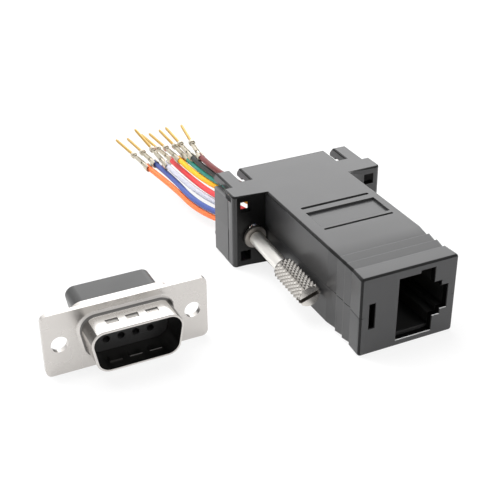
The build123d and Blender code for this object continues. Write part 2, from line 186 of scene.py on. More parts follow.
def soft_mottle():
    """Slow change of tone over a surface: the colour, wandering a little, and the cloud that moves it."""
    tree, come, go = group(
        "soft mottle",
        [("Color", "NodeSocketColor", (0.5, 0.5, 0.5, 1)), ("Scale", "NodeSocketFloat", 90.0),
         ("Amount", "NodeSocketFloat", 0.06)],
        [("Color", "NodeSocketColor"), ("Value", "NodeSocketFloat")],
    )
    place = tree.nodes.new("ShaderNodeTexCoord")
    cloud = tree.nodes.new("ShaderNodeTexNoise")
    cloud.inputs["Detail"].default_value = 4.0
    centred = tree.nodes.new("ShaderNodeMath")
    centred.operation = "SUBTRACT"
    centred.inputs[1].default_value = 0.5
    swing = tree.nodes.new("ShaderNodeMath")
    swing.operation = "MULTIPLY"
    lift = tree.nodes.new("ShaderNodeMath")
    lift.operation = "ADD"
    lift.inputs[1].default_value = 1.0
    tint = tree.nodes.new("ShaderNodeVectorMath")
    tint.operation = "SCALE"
    link = tree.links.new
    link(place.outputs["Object"], cloud.inputs["Vector"])
    link(come.outputs["Scale"], cloud.inputs["Scale"])
    link(cloud.outputs["Fac"], centred.inputs[0])
    link(centred.outputs[0], swing.inputs[0])
    link(come.outputs["Amount"], swing.inputs[1])
    link(swing.outputs[0], lift.inputs[0])
    link(come.outputs["Color"], tint.inputs[0])
    link(lift.outputs[0], tint.inputs["Scale"])
    link(tint.outputs["Vector"], go.inputs["Color"])
    link(cloud.outputs["Fac"], go.inputs["Value"])
    return tree


def plating_streaks():
    """Faint drawn lines and tarnish of a plated metal: a bumped normal and a roughness."""
    tree, come, go = group(
        "plating streaks",
        [("Scale", "NodeSocketVector", (600.0, 600.0, 4000.0)), ("Strength", "NodeSocketFloat", 0.1),
         ("Low", "NodeSocketFloat", 0.2), ("High", "NodeSocketFloat", 0.35)],
        [("Normal", "NodeSocketVector"), ("Roughness", "NodeSocketFloat")],
    )
    place = tree.nodes.new("ShaderNodeTexCoord")
    stretch = tree.nodes.new("ShaderNodeVectorMath")
    stretch.operation = "MULTIPLY"
    lines = tree.nodes.new("ShaderNodeTexNoise")
    lines.inputs["Scale"].default_value = 1.0
    lines.inputs["Detail"].default_value = 2.0
    bump = tree.nodes.new("ShaderNodeBump")
    bump.inputs["Distance"].default_value = 0.00002
    patches = tree.nodes.new("ShaderNodeTexNoise")
    patches.inputs["Scale"].default_value = 260.0
    patches.inputs["Detail"].default_value = 5.0
    spread = tree.nodes.new("ShaderNodeMapRange")
    spread.inputs["From Min"].default_value = 0.3
    spread.inputs["From Max"].default_value = 0.7
    link = tree.links.new
    link(place.outputs["Object"], stretch.inputs[0])
    link(come.outputs["Scale"], stretch.inputs[1])
    link(stretch.outputs["Vector"], lines.inputs["Vector"])
    link(lines.outputs["Fac"], bump.inputs["Height"])
    link(come.outputs["Strength"], bump.inputs["Strength"])
    link(place.outputs["Object"], patches.inputs["Vector"])
    link(patches.outputs["Fac"], spread.inputs["Value"])
    link(come.outputs["Low"], spread.inputs["To Min"])
    link(come.outputs["High"], spread.inputs["To Max"])
    link(bump.outputs["Normal"], go.inputs["Normal"])
    link(spread.outputs["Result"], go.inputs["Roughness"])
    return tree


GRAIN = moulded_grain()
MOTTLE = soft_mottle()
STREAKS = plating_streaks()


# finishes


def blank_finish(name):
    """A new material, its node tree and its shader."""
    finish = bpy.data.materials.new(name)
    finish.use_nodes = True
    return finish, finish.node_tree, finish.node_tree.nodes["Principled BSDF"]


def placed(tree, shader_group, **values):
    """A shader group set into a tree, with these values on its sockets."""
    node = tree.nodes.new("ShaderNodeGroup")
    node.node_tree = shader_group
    for label, value in values.items():
        node.inputs[label].default_value = value
    return node


def plastic(name, color, roughness, grain_scale, grain_strength, mottle=0.06, rough_swing=0.08, specular=0.5):
    """A moulded plastic with fine grain and a slight change of tone."""
    finish, tree, bsdf = blank_finish(name)
    tone = placed(tree, MOTTLE, Color=(*color, 1), Scale=120.0, Amount=mottle)
    grain = placed(tree, GRAIN, Scale=grain_scale, Strength=grain_strength)
    gloss = tree.nodes.new("ShaderNodeMapRange")
    gloss.inputs["From Min"].default_value = 0.3
    gloss.inputs["From Max"].default_value = 0.7
    gloss.inputs["To Min"].default_value = roughness - rough_swing / 2
    gloss.inputs["To Max"].default_value = roughness + rough_swing / 2
    link = tree.links.new
    link(tone.outputs["Color"], bsdf.inputs["Base Color"])
    link(tone.outputs["Value"], gloss.inputs["Value"])
    link(gloss.outputs["Result"], bsdf.inputs["Roughness"])
    link(grain.outputs["Normal"], bsdf.inputs["Normal"])
    bsdf.inputs["Specular IOR Level"].default_value = specular
    return finish


def metal(name, color, low, high, streak_scale, streak_strength, mottle=0.05):
    """A plated metal with drawn lines, uneven polish and a slight change of tone."""
    finish, tree, bsdf = blank_finish(name)
    tone = placed(tree, MOTTLE, Color=(*color, 1), Scale=300.0, Amount=mottle)
    streaks = placed(tree, STREAKS, Scale=streak_scale, Strength=streak_strength, Low=low, High=high)
    link = tree.links.new
    link(tone.outputs["Color"], bsdf.inputs["Base Color"])
    link(streaks.outputs["Roughness"], bsdf.inputs["Roughness"])
    link(streaks.outputs["Normal"], bsdf.inputs["Normal"])
    bsdf.inputs["Metallic"].default_value = 1.0
    return finish


# plastics: colour, roughness, scale and strength of the grain, mottle, swing of the roughness, specular
HOOD = plastic("hood plastic", (0.028, 0.028, 0.029), 0.3, 3800.0, 0.03, 0.03, 0.03)
# near black plastic that paints shade on rounded edges, long roundings and the left ear's front
HOOD_PAINTED_EDGE_SHADE = plastic("hood rounded edge", (0.004, 0.004, 0.004), 0.26, 3800.0, 0.02, 0.03, 0.03, 0.25)
# lighter plastic that paints light on the grip ridges' crests
HOOD_PAINTED_CREST_LIGHT = plastic("hood ridge crest", (0.075, 0.075, 0.077), 0.34, 3800.0, 0.02, 0.03, 0.03)
# slightly lighter plastic that paints light on the grip ridges and the ears' sides
HOOD_PAINTED_RIDGE_LIGHT = plastic("hood ridge", (0.042, 0.042, 0.043), 0.3, 3800.0, 0.03, 0.03, 0.03)
# near black plastic that paints shade on the mouth's walls and in the rear bay
HOOD_PAINTED_HOLLOW_SHADE = plastic("hood inside", (0.002, 0.002, 0.002), 0.6, 3800.0, 0.02, 0.03, 0.03, 0.08)
# mid grey plastic that paints the highlight along the mouth's lower rim
HOOD_PAINTED_SILL_HIGHLIGHT = plastic("hood mouth sill", (0.5, 0.5, 0.5), 0.3, 3800.0, 0.02, 0.03, 0.03)
JACK = plastic("jack insert plastic", (0.012, 0.012, 0.012), 0.4, 5000.0, 0.1)
INSULATOR = plastic("insulator plastic", (0.02, 0.02, 0.02), 0.34, 4000.0, 0.05)
# metals: colour, lowest and highest roughness, scale and strength of the drawn lines
TIN_LINES, SCREW_LINES, PIN_LINES = (500.0, 500.0, 2600.0), (2500.0, 500.0, 2500.0), (900.0, 900.0, 900.0)
TIN = metal("bright tin shell", (0.6, 0.575, 0.55), 0.25, 0.31, TIN_LINES, 0.05)
# near white tin that paints the highlight on the D shell's top
TIN_PAINTED_HIGHLIGHT = metal("tin painted highlight top", (0.97, 0.95, 0.92), 0.25, 0.31, TIN_LINES, 0.05)
# dark tin that paints shade on the D shell's sloped top corners
TIN_PAINTED_CORNER_SHADE = metal("tin at the shell's corners", (0.2, 0.193, 0.187), 0.25, 0.31, TIN_LINES, 0.05)
# darker tin that paints shade in the D shell, at its root and on its dimples' walls
TIN_PAINTED_SHADE = metal("tin in the shell's shade", (0.16, 0.155, 0.15), 0.3, 0.36, TIN_LINES, 0.05)
NICKEL = metal("nickel thumbscrew", (0.72, 0.69, 0.65), 0.16, 0.3, SCREW_LINES, 0.1)
# near white nickel that paints a highlight on the screw necks
NECK_PAINTED_HIGHLIGHT = metal("screw neck", (0.92, 0.9, 0.86), 0.4, 0.5, SCREW_LINES, 0.1)
# darker nickel that paints shade on the knurl's back slopes
KNURL_PAINTED_SHADE = metal("knurl in shade", (0.32, 0.305, 0.285), 0.3, 0.4, SCREW_LINES, 0.1)
# darker nickel that paints shade in the driver slot; the collars take it too
SLOT_SHADE_DARK_NICKEL = metal("driver slot", (0.3, 0.28, 0.26), 0.35, 0.5, SCREW_LINES, 0.1)
GOLD = metal("gold pin", (0.56, 0.36, 0.11), 0.2, 0.34, PIN_LINES, 0.08)
CRIMP = metal("tinned crimp", (0.62, 0.57, 0.47), 0.2, 0.36, PIN_LINES, 0.2)
LEAD_COLORS = {
    "orange": (0.82, 0.17, 0.05),
    "blue": (0.055, 0.085, 0.27),
    "white": (0.42, 0.42, 0.48),
    "red": (0.62, 0.045, 0.05),
    "yellow": (0.76, 0.36, 0.012),
    "green": (0.012, 0.17, 0.13),
    "black": (0.012, 0.014, 0.013),
    "brown": (0.1, 0.015, 0.014),
}
SLEEVES = {n: plastic(f"{n} lead sleeve", c, 0.48, 3000.0, 0.015, 0.05) for n, c in LEAD_COLORS.items()}


def finish_of(piece, *finishes):
    """The piece's material slots hold these finishes."""
    piece.data.materials.clear()
    for finish in finishes:
        piece.data.materials.append(finish)
    return piece


# camera

# fitted to corners of the flange and the hood in the photograph; its place is in metres
camera_data = bpy.data.cameras.new("photo camera")
camera = bpy.data.objects.new("photo camera", camera_data)
scene.collection.objects.link(camera)
right = Vector((0.89995097, -0.43597186, -0.00409761))
down = Vector((-0.22187608, -0.44987486, -0.86509168))
ahead = Vector((0.37531222, 0.77944926, -0.50159704))
turn = Matrix((right, -down, -ahead)).transposed().to_4x4()
stand = Vector((-0.09378, -0.154064, 0.110989))
camera.matrix_world = Matrix.Translation(stand) @ turn
camera_data.sensor_width = 36.0
camera_data.lens = 75.246
camera_data.clip_start = 0.005
scene.camera = camera

# leads and crimp pins

# millimetres: the points of each lead's curve, and where its pin's nose ends
LEAD_D = 1.25
ROUTES = {
    "orange": [(-4.2, -4.35, 3.31), (-6, 9.15, 3.18), (-11.6, 24.65, 2.99), (-15.6, 35.85, 2.5),
               (-16.6, 46.05, 3.7), (-19.3, 56.35, 5.2)],
    "blue": [(-4.2, -4.35, 4.69), (-6.1, 9.15, 4.56), (-11.3, 24.65, 4.37), (-15.4, 36.05, 3.9),
             (-16.1, 48.45, 5.2), (-17.7, 55.75, 6.1)],
    "white": [(-4.2, -4.35, 6.07), (-6.3, 9.15, 5.96), (-10.3, 24.65, 5.78), (-14.6, 38.45, 5.4),
              (-16.5, 51.45, 7.4)],
    "red": [(-4.2, -4.35, 7.45), (-6.3, 9.15, 7.3), (-10.3, 24.65, 7.12), (-13.7, 38.75, 6.65),
            (-13, 57.25, 5.4)],
    "yellow": [(-4.2, -4.35, 8.83), (-6.3, 9.15, 8.69), (-8.2, 24.65, 8.48), (-13.1, 38.65, 8),
               (-13.3, 51.35, 8.06)],
    "green": [(-4.2, -4.35, 10.21), (-6.3, 9.15, 10.05), (-9.2, 24.65, 9.83), (-12.4, 38.65, 9.3),
              (-11.7, 50.05, 8.4)],
    "black": [(-4.2, -4.35, 11.59), (-6.3, 9.15, 11.43), (-9.8, 24.65, 11.2), (-12.2, 37.95, 10.6),
              (-11.8, 46.95, 10.25)],
    "brown": [(-4.2, -4.35, 12.97), (-6.3, 9.15, 12.81), (-9.9, 24.65, 12.62), (-11.7, 34.95, 12.1),
              (-11, 43.75, 11.5)],
}
TIPS = {
    "orange": (-21.29, 71.79, 6.13),
    "blue": (-18.56, 71.33, 6.12),
    "white": (-18.04, 66.71, 10.27),
    "red": (-14.42, 72.78, 5.8),
    "yellow": (-14.42, 66.91, 8.39),
    "green": (-12.28, 65.61, 9.4),
    "black": (-11.74, 62.52, 11.15),
    "brown": (-9.07, 59.19, 12.57),
}


def crimp_pin():
    """One open barrel crimp pin along +Z from the end of the insulation, to copy."""
    nose = [(0.0, 6.7), (0.36, 6.7), (0.36, 14.5), (0.33, 15.0), (0.26, 15.35), (0.15, 15.55), (0.0, 15.6)]
    shoulder = [(0.0, 5.5), (0.36, 5.5), (0.5, 5.8), (0.74, 5.85), (0.76, 6.0), (0.76, 6.6), (0.7, 6.75),
                (0.44, 6.85), (0.0, 6.9)]
    strands = [(0.0, -0.05), (0.4, -0.05), (0.4, 1.2), (0.34, 2.2), (0.34, 5.1), (0.26, 5.3), (0.0, 5.35)]
    gold = finish_of(lathe("pin nose", nose, 20), GOLD)
    tinned = [
        lathe("pin shoulder", shoulder, 20),
        roll("conductor crimp", radius=0.46, wall=0.15, low=1.9, high=4.6, half_gap=9.6),
        roll("crimp neck", radius=0.38, wall=0.13, low=4.5, high=5.6, half_gap=36.0),
        roll("insulation crimp", radius=0.8, wall=0.16, low=-1.5, high=0.0, half_gap=15.0),
        roll("crimp floor", radius=0.54, wall=0.14, low=-0.1, high=2.0, half_gap=72.0),
        lathe("bare strands", strands, 12),
    ]
    for part in tinned:
        finish_of(part, CRIMP)
    return smooth(join("master pin", [gold, *tinned]), 40)


def lathe(name, outline, steps):
    """A turned piece round +Z from an outline of radius and height in millimetres."""
    # a plane is cut down to its first vertex, which is then drawn along the outline
    bpy.ops.mesh.primitive_plane_add(size=1)
    piece = fresh(name)
    bpy.ops.object.mode_set(mode="EDIT")
    bpy.ops.mesh.select_all(action="SELECT")
    bpy.ops.mesh.delete(type="ONLY_FACE")
    bpy.ops.mesh.select_mode(type="VERT")
    bpy.ops.object.mode_set(mode="OBJECT")
    for vertex in piece.data.vertices:
        vertex.select = vertex.index != 0
    bpy.ops.object.mode_set(mode="EDIT")
    bpy.ops.mesh.delete(type="VERT")
    bpy.ops.mesh.select_all(action="SELECT")
    bpy.ops.object.mode_set(mode="OBJECT")
    piece.data.vertices[0].co = (outline[0][0] * MM, 0, outline[0][1] * MM)
    bpy.ops.object.mode_set(mode="EDIT")
    for (r0, z0), (r1, z1) in zip(outline, outline[1:]):
        step = ((r1 - r0) * MM, 0, (z1 - z0) * MM)
        bpy.ops.mesh.extrude_region_move(TRANSFORM_OT_translate={"value": step})
    bpy.ops.mesh.select_all(action="SELECT")
    bpy.ops.mesh.spin(steps=steps, angle=math.tau, center=(0, 0, 0), axis=(0, 0, 1))
    bpy.ops.object.mode_set(mode="OBJECT")
    return outward(piece)


def roll(name, radius, wall, low, high, half_gap):
    """A strip rolled round +Z into an open barrel, in millimetres, with a gap of degrees each way from +Y."""
    bpy.ops.mesh.primitive_cylinder_add(vertices=24, radius=radius * MM, depth=(high - low) * MM,
                                        end_fill_type="NOTHING", location=(0, 0, (low + high) / 2 * MM))
    piece = fresh(name)
    settle(piece)
    pick(piece, "FACE", lambda face: abs(math.atan2(face.center.x, face.center.y)) < math.radians(half_gap))
    bpy.ops.mesh.delete(type="FACE")
    bpy.ops.object.mode_set(mode="OBJECT")
    skin = piece.modifiers.new("wall", "SOLIDIFY")
    skin.thickness = wall * MM
    skin.offset = 0
    rim = piece.modifiers.new("rim", "BEVEL")
    rim.width = 0.04 * MM
    rim.segments = 1
    return apply_all(piece)


def along(piece, start, heading):
    """Stands a piece made along +Z at start, pointing along heading, with its +Y side upward."""
    z = heading.normalized()
    x = Vector((0, 0, 1)).cross(z).normalized()
    piece.matrix_world = Matrix.Translation(start) @ Matrix((x, z.cross(x), z)).transposed().to_4x4()
    return settle(piece)


def lead(name):
    """An insulated lead on one smooth curve through the hood and out of its end."""
    curve = bpy.data.curves.new(f"lead_{name}_sleeve", "CURVE")
    curve.dimensions = "3D"
    curve.bevel_depth = LEAD_D / 2 * MM
    curve.bevel_resolution = 5
    curve.resolution_u = 16
    curve.use_fill_caps = True
    spline = curve.splines.new("NURBS")
    points = ROUTES[name]
    spline.points.add(len(points) - 1)
    for spot, (x, y, z) in zip(spline.points, points):
        spot.co = (x * MM, y * MM, z * MM, 1)
    spline.order_u = 3
    spline.use_endpoint_u = True
    piece = bpy.data.objects.new(f"lead_{name}_sleeve", curve)
    scene.collection.objects.link(piece)
    return finish_of(piece, SLEEVES[name])


master_pin = crimp_pin()
for name in ROUTES:
    sleeve = lead(name)
    end = Vector(ROUTES[name][-1]) * MM
    nose = Vector(TIPS[name]) * MM
    pin = along(copy_of(master_pin, f"crimp_pin_{name}"), end, nose - end)
    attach(pin, "hood")
    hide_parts(f"pin_{name}")
    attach(sleeve, "hood")
    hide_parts(f"lead_{name}")
bpy.data.objects.remove(master_pin)

# hood

# millimetres, from part.py: heights and widths of the hood, and places along it from its face to its rear
MID_Z, HOOD_TOP = 8.14, 16.28
BODY_HALF, EAR_HALF, EAR_ROUND = 9.9, 17.0, 0.9
FACE_Y, EAR_Y, SIDE_PLATE_Y, PLATE_Y = -24.85, 12.89, 22.25, 24.85
RIDGE_CRESTS = (-21.0, -18.47, -15.94)
# millimetres: bounds that tell the mouth, the rear bay and the body's outer faces apart from the rest
MOUTH_HALF, MOUTH_LOW, MOUTH_HIGH, MOUTH_END = 8.6, 1.0, 15.5, -21.0
BAY_HALF, BAY_LOW, BAY_HIGH, BAY_END = 16.0, 1.2, 15.1, 22.0
ROOT_HALF, MARK_HALF, SIDE_INNER, ROOF_INNER = 9.3, 8.2, 9.2, 7.4
# degrees: from which edges are rounded over, and up to which shading runs smoothly over them
SHARP_ANGLE, SMOOTH_ANGLE = 30, 32
# places of the finishes among those of a hood half; all but PLAIN paint light or shade
PLAIN, EDGE, CREST_LIGHT_PAINTED, SILL_HIGHLIGHT_PAINTED, RIDGE_LIGHT_PAINTED, HOLLOW_SHADE_PAINTED = range(6)
HOOD_FINISHES = (HOOD, HOOD_PAINTED_EDGE_SHADE, HOOD_PAINTED_CREST_LIGHT, HOOD_PAINTED_SILL_HIGHLIGHT, HOOD_PAINTED_RIDGE_LIGHT, HOOD_PAINTED_HOLLOW_SHADE)


def round_edges(piece, widths):
    """Rounds over the sharp edges that each test in widths wants, by its own width in millimetres, and paints
    shade on the rounded faces.
    """
    bpy.ops.object.mode_set(mode="EDIT")
    bpy.ops.mesh.select_mode(type="EDGE")
    bpy.ops.mesh.select_all(action="DESELECT")
    bpy.ops.mesh.edges_select_sharp(sharpness=math.radians(SHARP_ANGLE))
    bpy.ops.object.mode_set(mode="OBJECT")
    mesh = piece.data
    weights = mesh.attributes.new("bevel_weight_edge", "FLOAT", "EDGE")
    largest = max(widths.values())
    for edge in mesh.edges:
        if edge.select:
            a, b = (mesh.vertices[i].co / MM for i in edge.vertices)
            fitting = [width for wanted, width in widths.items() if wanted(a, b)]
            weights.data[edge.index].value = max(fitting, default=0.0) / largest
    rim = piece.modifiers.new("rounded edge", "BEVEL")
    rim.width = largest * MM
    rim.segments = 3
    rim.limit_method = "WEIGHT"
    rim.use_clamp_overlap = False
    rim.loop_slide = False
    # the rounded faces take the painted edge shade
    rim.material = EDGE
    reach = max(abs(vertex.co.x) for vertex in mesh.vertices)
    apply_all(piece)
    # the rounding overshoots where an ear's front runs into its round corner, so those points go back to it
    for vertex in piece.data.vertices:
        if abs(vertex.co.x) > reach + 0.02 * MM:
            vertex.co.x = math.copysign(reach - EAR_ROUND * MM, vertex.co.x)


def dressed(node, name, finishes, sort=lambda face: 0, widths=None):
    """A copy of a CAD node with its flats made whole again, ready to show in its place.

    Each face takes the one of the finishes that sort picks by number. The edges that widths names are rounded
    over and take the second finish, which paints shade on them.
    """
    piece = copy_of(nodes[node], name)
    piece.parent = None
    for key in list(piece.keys()):
        if key.startswith("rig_"):
            del piece[key]
    take(piece)
    bpy.ops.object.mode_set(mode="EDIT")
    bpy.ops.mesh.select_all(action="SELECT")
    bpy.ops.mesh.remove_doubles(threshold=0.001 * MM)
    bpy.ops.mesh.dissolve_limited(angle_limit=math.radians(1.0))
    bpy.ops.object.mode_set(mode="OBJECT")
    finish_of(piece, *finishes)
    for face in piece.data.polygons:
        face.material_index = sort(face)
    if widths:
        round_edges(piece, widths)
    smooth(piece, SMOOTH_ANGLE)
    even = piece.modifiers.new("even shading", "WEIGHTED_NORMAL")
    even.mode = "FACE_AREA"
    even.weight = 100
    even.keep_sharp = True
    apply_all(piece)
    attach(piece, next(body for body, ridden in bodies.items() if node in ridden))
    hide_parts(node)
    return piece


def near(value, *marks):
    """Whether a measure lies on one of these marks, within a hair."""
    return any(abs(value - mark) < 0.02 for mark in marks)


def both(a, b, axis, *marks):
    """Whether both ends of an edge lie on one of these marks along an axis."""
    return near(getattr(a, axis), *marks) and near(getattr(b, axis), *marks)


def widest(a, b):
    """How far the farther end of an edge lies from the hood's middle."""
    return max(abs(a.x), abs(b.x))


def past_body(c):
    """How far a point lies outside the outline of the hood's straight body."""
    return max(abs(c.x) - BODY_HALF, abs(c.z - MID_Z) - MID_Z)


def in_mouth(c):
    """Whether a point lies in the part of the face that the jack opening and the slot beside it take up."""
    return abs(c.x) < MOUTH_HALF and MOUTH_LOW < c.z < MOUTH_HIGH


def in_bay(c):
    """Whether a point lies in the bay behind the ears' fronts that the leads leave through."""
    return abs(c.x) < BAY_HALF and BAY_LOW < c.z < BAY_HIGH and EAR_Y + 0.05 < c.y < BAY_END


def on_plate(a, b):
    """Outline of the flat roof or floor round the ears and behind them."""
    root = both(a, b, "y", EAR_Y) and widest(a, b) < ROOT_HALF
    return both(a, b, "z", 0, HOOD_TOP) and min(a.y, b.y) > EAR_Y - 0.02 and not root


def on_lip(a, b):
    """Edges of the sloped rear lips and the rear ends of the ears' side plates."""
    sloped = min(a.y, b.y) > PLATE_Y - 0.02 and not both(a, b, "z", 0, HOOD_TOP)
    side = near(abs(a.x), EAR_HALF) and near(abs(b.x), EAR_HALF) and both(a, b, "y", SIDE_PLATE_Y)
    return (sloped and (a.z - MID_Z) * (b.z - MID_Z) > 4) or side


def on_mark(a, b):
    """Upper edges of the label pocket and of the two grooves."""
    return both(a, b, "z", HOOD_TOP) and max(a.y, b.y) < EAR_Y - 1 and widest(a, b) < MARK_HALF


def on_mouth(a, b):
    """Edges of the jack opening and of the slot beside it, in the face."""
    return both(a, b, "y", FACE_Y) and in_mouth(a) and in_mouth(b) and not both(a, b, "z", MID_Z)


def on_ridge(a, b):
    """Crests of the grip ridges, where each steps down to the next."""
    outer = past_body(a) > -0.05 and past_body(b) > -0.05
    return outer and any(both(a, b, "y", crest) for crest in RIDGE_CRESTS)


def on_seam(a, b):
    """Outer edges of the two halves along the parting line of the body."""
    return both(a, b, "z", MID_Z) and all(abs(c.x) > SIDE_INNER and c.y < EAR_Y - 0.5 for c in (a, b))


def painted_shade_sort(face):
    """Painted shade: the near black edge finish on the body's long roundings and the left ear's front, and
    the darkest finish in the mouth and the rear bay.
    """
    n = face.normal
    c = face.center / MM
    wall = in_mouth(c) and FACE_Y + 0.05 < c.y < MOUTH_END and abs(n.y) < 0.5
    # painted shade: the mouth's walls and the rear bay go near black
    if wall or in_bay(c):
        return HOLLOW_SHADE_PAINTED
    # painted shade on the body's long roundings
    slanted = sorted(abs(v) for v in n)[1] > 0.24 and abs(n.y) < 0.97
    if slanted and c.y < EAR_Y and max(abs(c.x) - SIDE_INNER, abs(c.z - MID_Z) - ROOF_INNER) > 0:
        return EDGE
    # painted shade on the left ear's front
    return EDGE if near(c.y, EAR_Y) and n.y < -0.9 and c.x < -BODY_HALF else PLAIN


def painted_light_sort(face):
    """Painted light: a highlight on the mouth's sill, lighter crests and flanks on the grip ridges and
    lighter ears' sides; other faces keep the finish they had.
    """
    c = face.center / MM
    # painted highlight on the rounded lower rim of the mouth
    sill = in_mouth(c) and c.x > -3 and c.y < FACE_Y + 0.13
    if sill and face.material_index == EDGE and face.normal.z > 0.3:
        return SILL_HIGHLIGHT_PAINTED
    outer = past_body(c) > -0.5
    # painted light on the ridges' crests
    if outer and face.area < 4 * MM * MM and any(abs(c.y - crest) < 0.12 for crest in RIDGE_CRESTS):
        return CREST_LIGHT_PAINTED
    # painted light on the ridges' flanks and the ears' sides
    if face.material_index == PLAIN and ((outer and -20.9 < c.y < -15.9) or near(abs(c.x), EAR_HALF)):
        return RIDGE_LIGHT_PAINTED
    return face.material_index


HOOD_EDGES = {on_plate: 0.38, on_lip: 0.25, on_mark: 0.1, on_mouth: 0.12, on_ridge: 0.16, on_seam: 0.06}
for node in ("hood_upper", "hood_lower"):
    moulding = dressed(node, node + "_moulding", HOOD_FINISHES, painted_shade_sort, HOOD_EDGES)
    for face in moulding.data.polygons:
        face.material_index = painted_light_sort(face)

finish_of(nodes["jack_insert"], JACK)
finish_of(nodes["jack_clamp"], JACK)
for n in range(1, 9):
    finish_of(nodes[f"jack_contact_{n}"], GOLD)

# connector

# middle of the flange's front, in millimetres, and places of the finishes among those of the shells; all but
# PLATED paint light or shade
FLANGE_SPOT = Vector((-46.7, -6.15, 6.275))
PLATED, SHELL_SHADE_PAINTED, SHELL_HIGHLIGHT_PAINTED, CORNER_SHADE_PAINTED = range(4)
# half width, half height and depth of the D shell, in millimetres from that middle
D_HALF_X, D_HALF_Z, D_DEPTH = 8.12, 3.84, 5.6


def shell_painted_light(face):
    """Painted light on the plated shells: shade in the D shell, at its root and on its dimples' walls, a
    highlight on top, shade on the sloped corners.
    """
    n = face.normal
    c = face.center / MM - FLANGE_SPOT
    inward = n.x * c.x + n.z * c.z < 0.01
    inside = inward and -D_DEPTH < c.y < -0.3 and abs(c.z) < D_HALF_Z and abs(c.x) < D_HALF_X
    root = -1.6 < c.y < -0.02 and -0.8 < n.y < -0.3
    dimple_wall = abs(n.z) < 0.5 and abs(c.x) < 5.2 and 3.3 < abs(c.z) < 4.4 and -4.8 < c.y < -1.0
    # painted shade in the D shell, at its root and on its dimples' walls
    if inside or root or dimple_wall:
        return SHELL_SHADE_PAINTED
    # painted shade on the D shell's sloped top corners
    if c.z > 0 and 0.15 < n.z < 0.85 and -5.2 < c.y < -0.3:
        return CORNER_SHADE_PAINTED
    # painted highlight on the D shell's flat top
    return SHELL_HIGHLIGHT_PAINTED if c.z > 0 and n.z > 0.85 and -D_DEPTH < c.y < -0.3 else PLATED


for node in ("connector_shell_front", "connector_shell_rear"):
    plated = dressed(node, node + "_plated", (TIN, TIN_PAINTED_SHADE, TIN_PAINTED_HIGHLIGHT, TIN_PAINTED_CORNER_SHADE), shell_painted_light)


def insulator_face():
    """The front insulator, level with the flange as the photograph shows it, deep inside the shell."""
    piece = dressed("connector_insulator_front", "insulator_face", (INSULATOR,))
    take(piece)
    bpy.ops.object.mode_set(mode="EDIT")
    bpy.ops.mesh.select_all(action="SELECT")
    bpy.ops.mesh.bisect(plane_co=(0, (FLANGE_SPOT.y - 0.05) * MM, 0), plane_no=(0, -1, 0), clear_outer=True,
                        use_fill=True)
    bpy.ops.object.mode_set(mode="OBJECT")
    return smooth(piece, SMOOTH_ANGLE)


insulator_face()
finish_of(nodes["connector_insulator_rear"], INSULATOR)

# thumbscrews

# millimetres: heights run along the screw's own axis, from the front of its ear toward the jack
HEAD_R, HEAD_LENGTH, HEAD_START = 2.45, 10.75, 13.15
NECK_R, SHANK_R, THREAD_R = 1.475, 1.1, 1.42
KNURL_DEPTH, KNURL_COLUMNS, KNURL_ROWS = 0.34, 32, 17
SLOT_WIDTH, SLOT_DEPTH, SLOT_TURN = 0.9, 1.2, math.radians(19.0)
SCREW_X, SCREW_Z, SCREW_TILT = 12.495, 6.78, math.radians(2.5)


def knurled_head():
    """Head with a diamond knurl between two plain chamfers, made along +Z from the neck's end."""
    bpy.ops.mesh.primitive_cylinder_add(vertices=KNURL_COLUMNS, radius=HEAD_R * MM, depth=HEAD_LENGTH * MM,
                                        end_fill_type="NGON", location=(0, 0, HEAD_LENGTH / 2 * MM))
    piece = fresh("knurled head")
    settle(piece)
    start, stop = 0.75, HEAD_LENGTH - 0.55
    row_height = (stop - start) / KNURL_ROWS
    for n in range(KNURL_ROWS + 1):
        bpy.ops.object.mode_set(mode="EDIT")
        bpy.ops.mesh.select_all(action="SELECT")
        height = start + (stop - start) * n / KNURL_ROWS
        bpy.ops.mesh.bisect(plane_co=(0, 0, height * MM), plane_no=(0, 0, 1))
        bpy.ops.object.mode_set(mode="OBJECT")

    def valley(vertex):
        row = (vertex.co.z / MM - start) / row_height
        column = math.atan2(vertex.co.y, vertex.co.x) / math.tau * KNURL_COLUMNS
        return -0.4 < row < KNURL_ROWS + 0.4 and (round(row) + round(column)) % 2 == 1

    squeeze(piece, valley, (HEAD_R - KNURL_DEPTH) / HEAD_R)
    # both ends are drawn in to form the chamfers
    squeeze(piece, lambda vertex: vertex.co.z < 0.1 * MM, 0.8)
    squeeze(piece, lambda vertex: vertex.co.z > (HEAD_LENGTH - 0.1) * MM, 0.88)
    pick(piece, "FACE", lambda face: abs(face.normal.z) < 0.9)
    bpy.ops.mesh.quads_convert_to_tris(quad_method="SHORTEST_DIAGONAL")
    bpy.ops.object.mode_set(mode="OBJECT")
    return piece


def threaded_end(low, high, radius, pitch=0.635):
    """Threaded rod round +Z between two heights, as a row of turned crests."""
    root = radius - 0.3
    first = low + 0.15
    turns = int((high - low - 0.3) / pitch)
    outline = [(0.0, low), (root, low)]
    for n in range(turns):
        z = first + n * pitch
        outline += [(root, z), (radius, z + pitch * 0.42), (radius, z + pitch * 0.58)]
    outline += [(root, first + turns * pitch), (radius - 0.35, high), (0.0, high)]
    return lathe("thread", outline, 32)


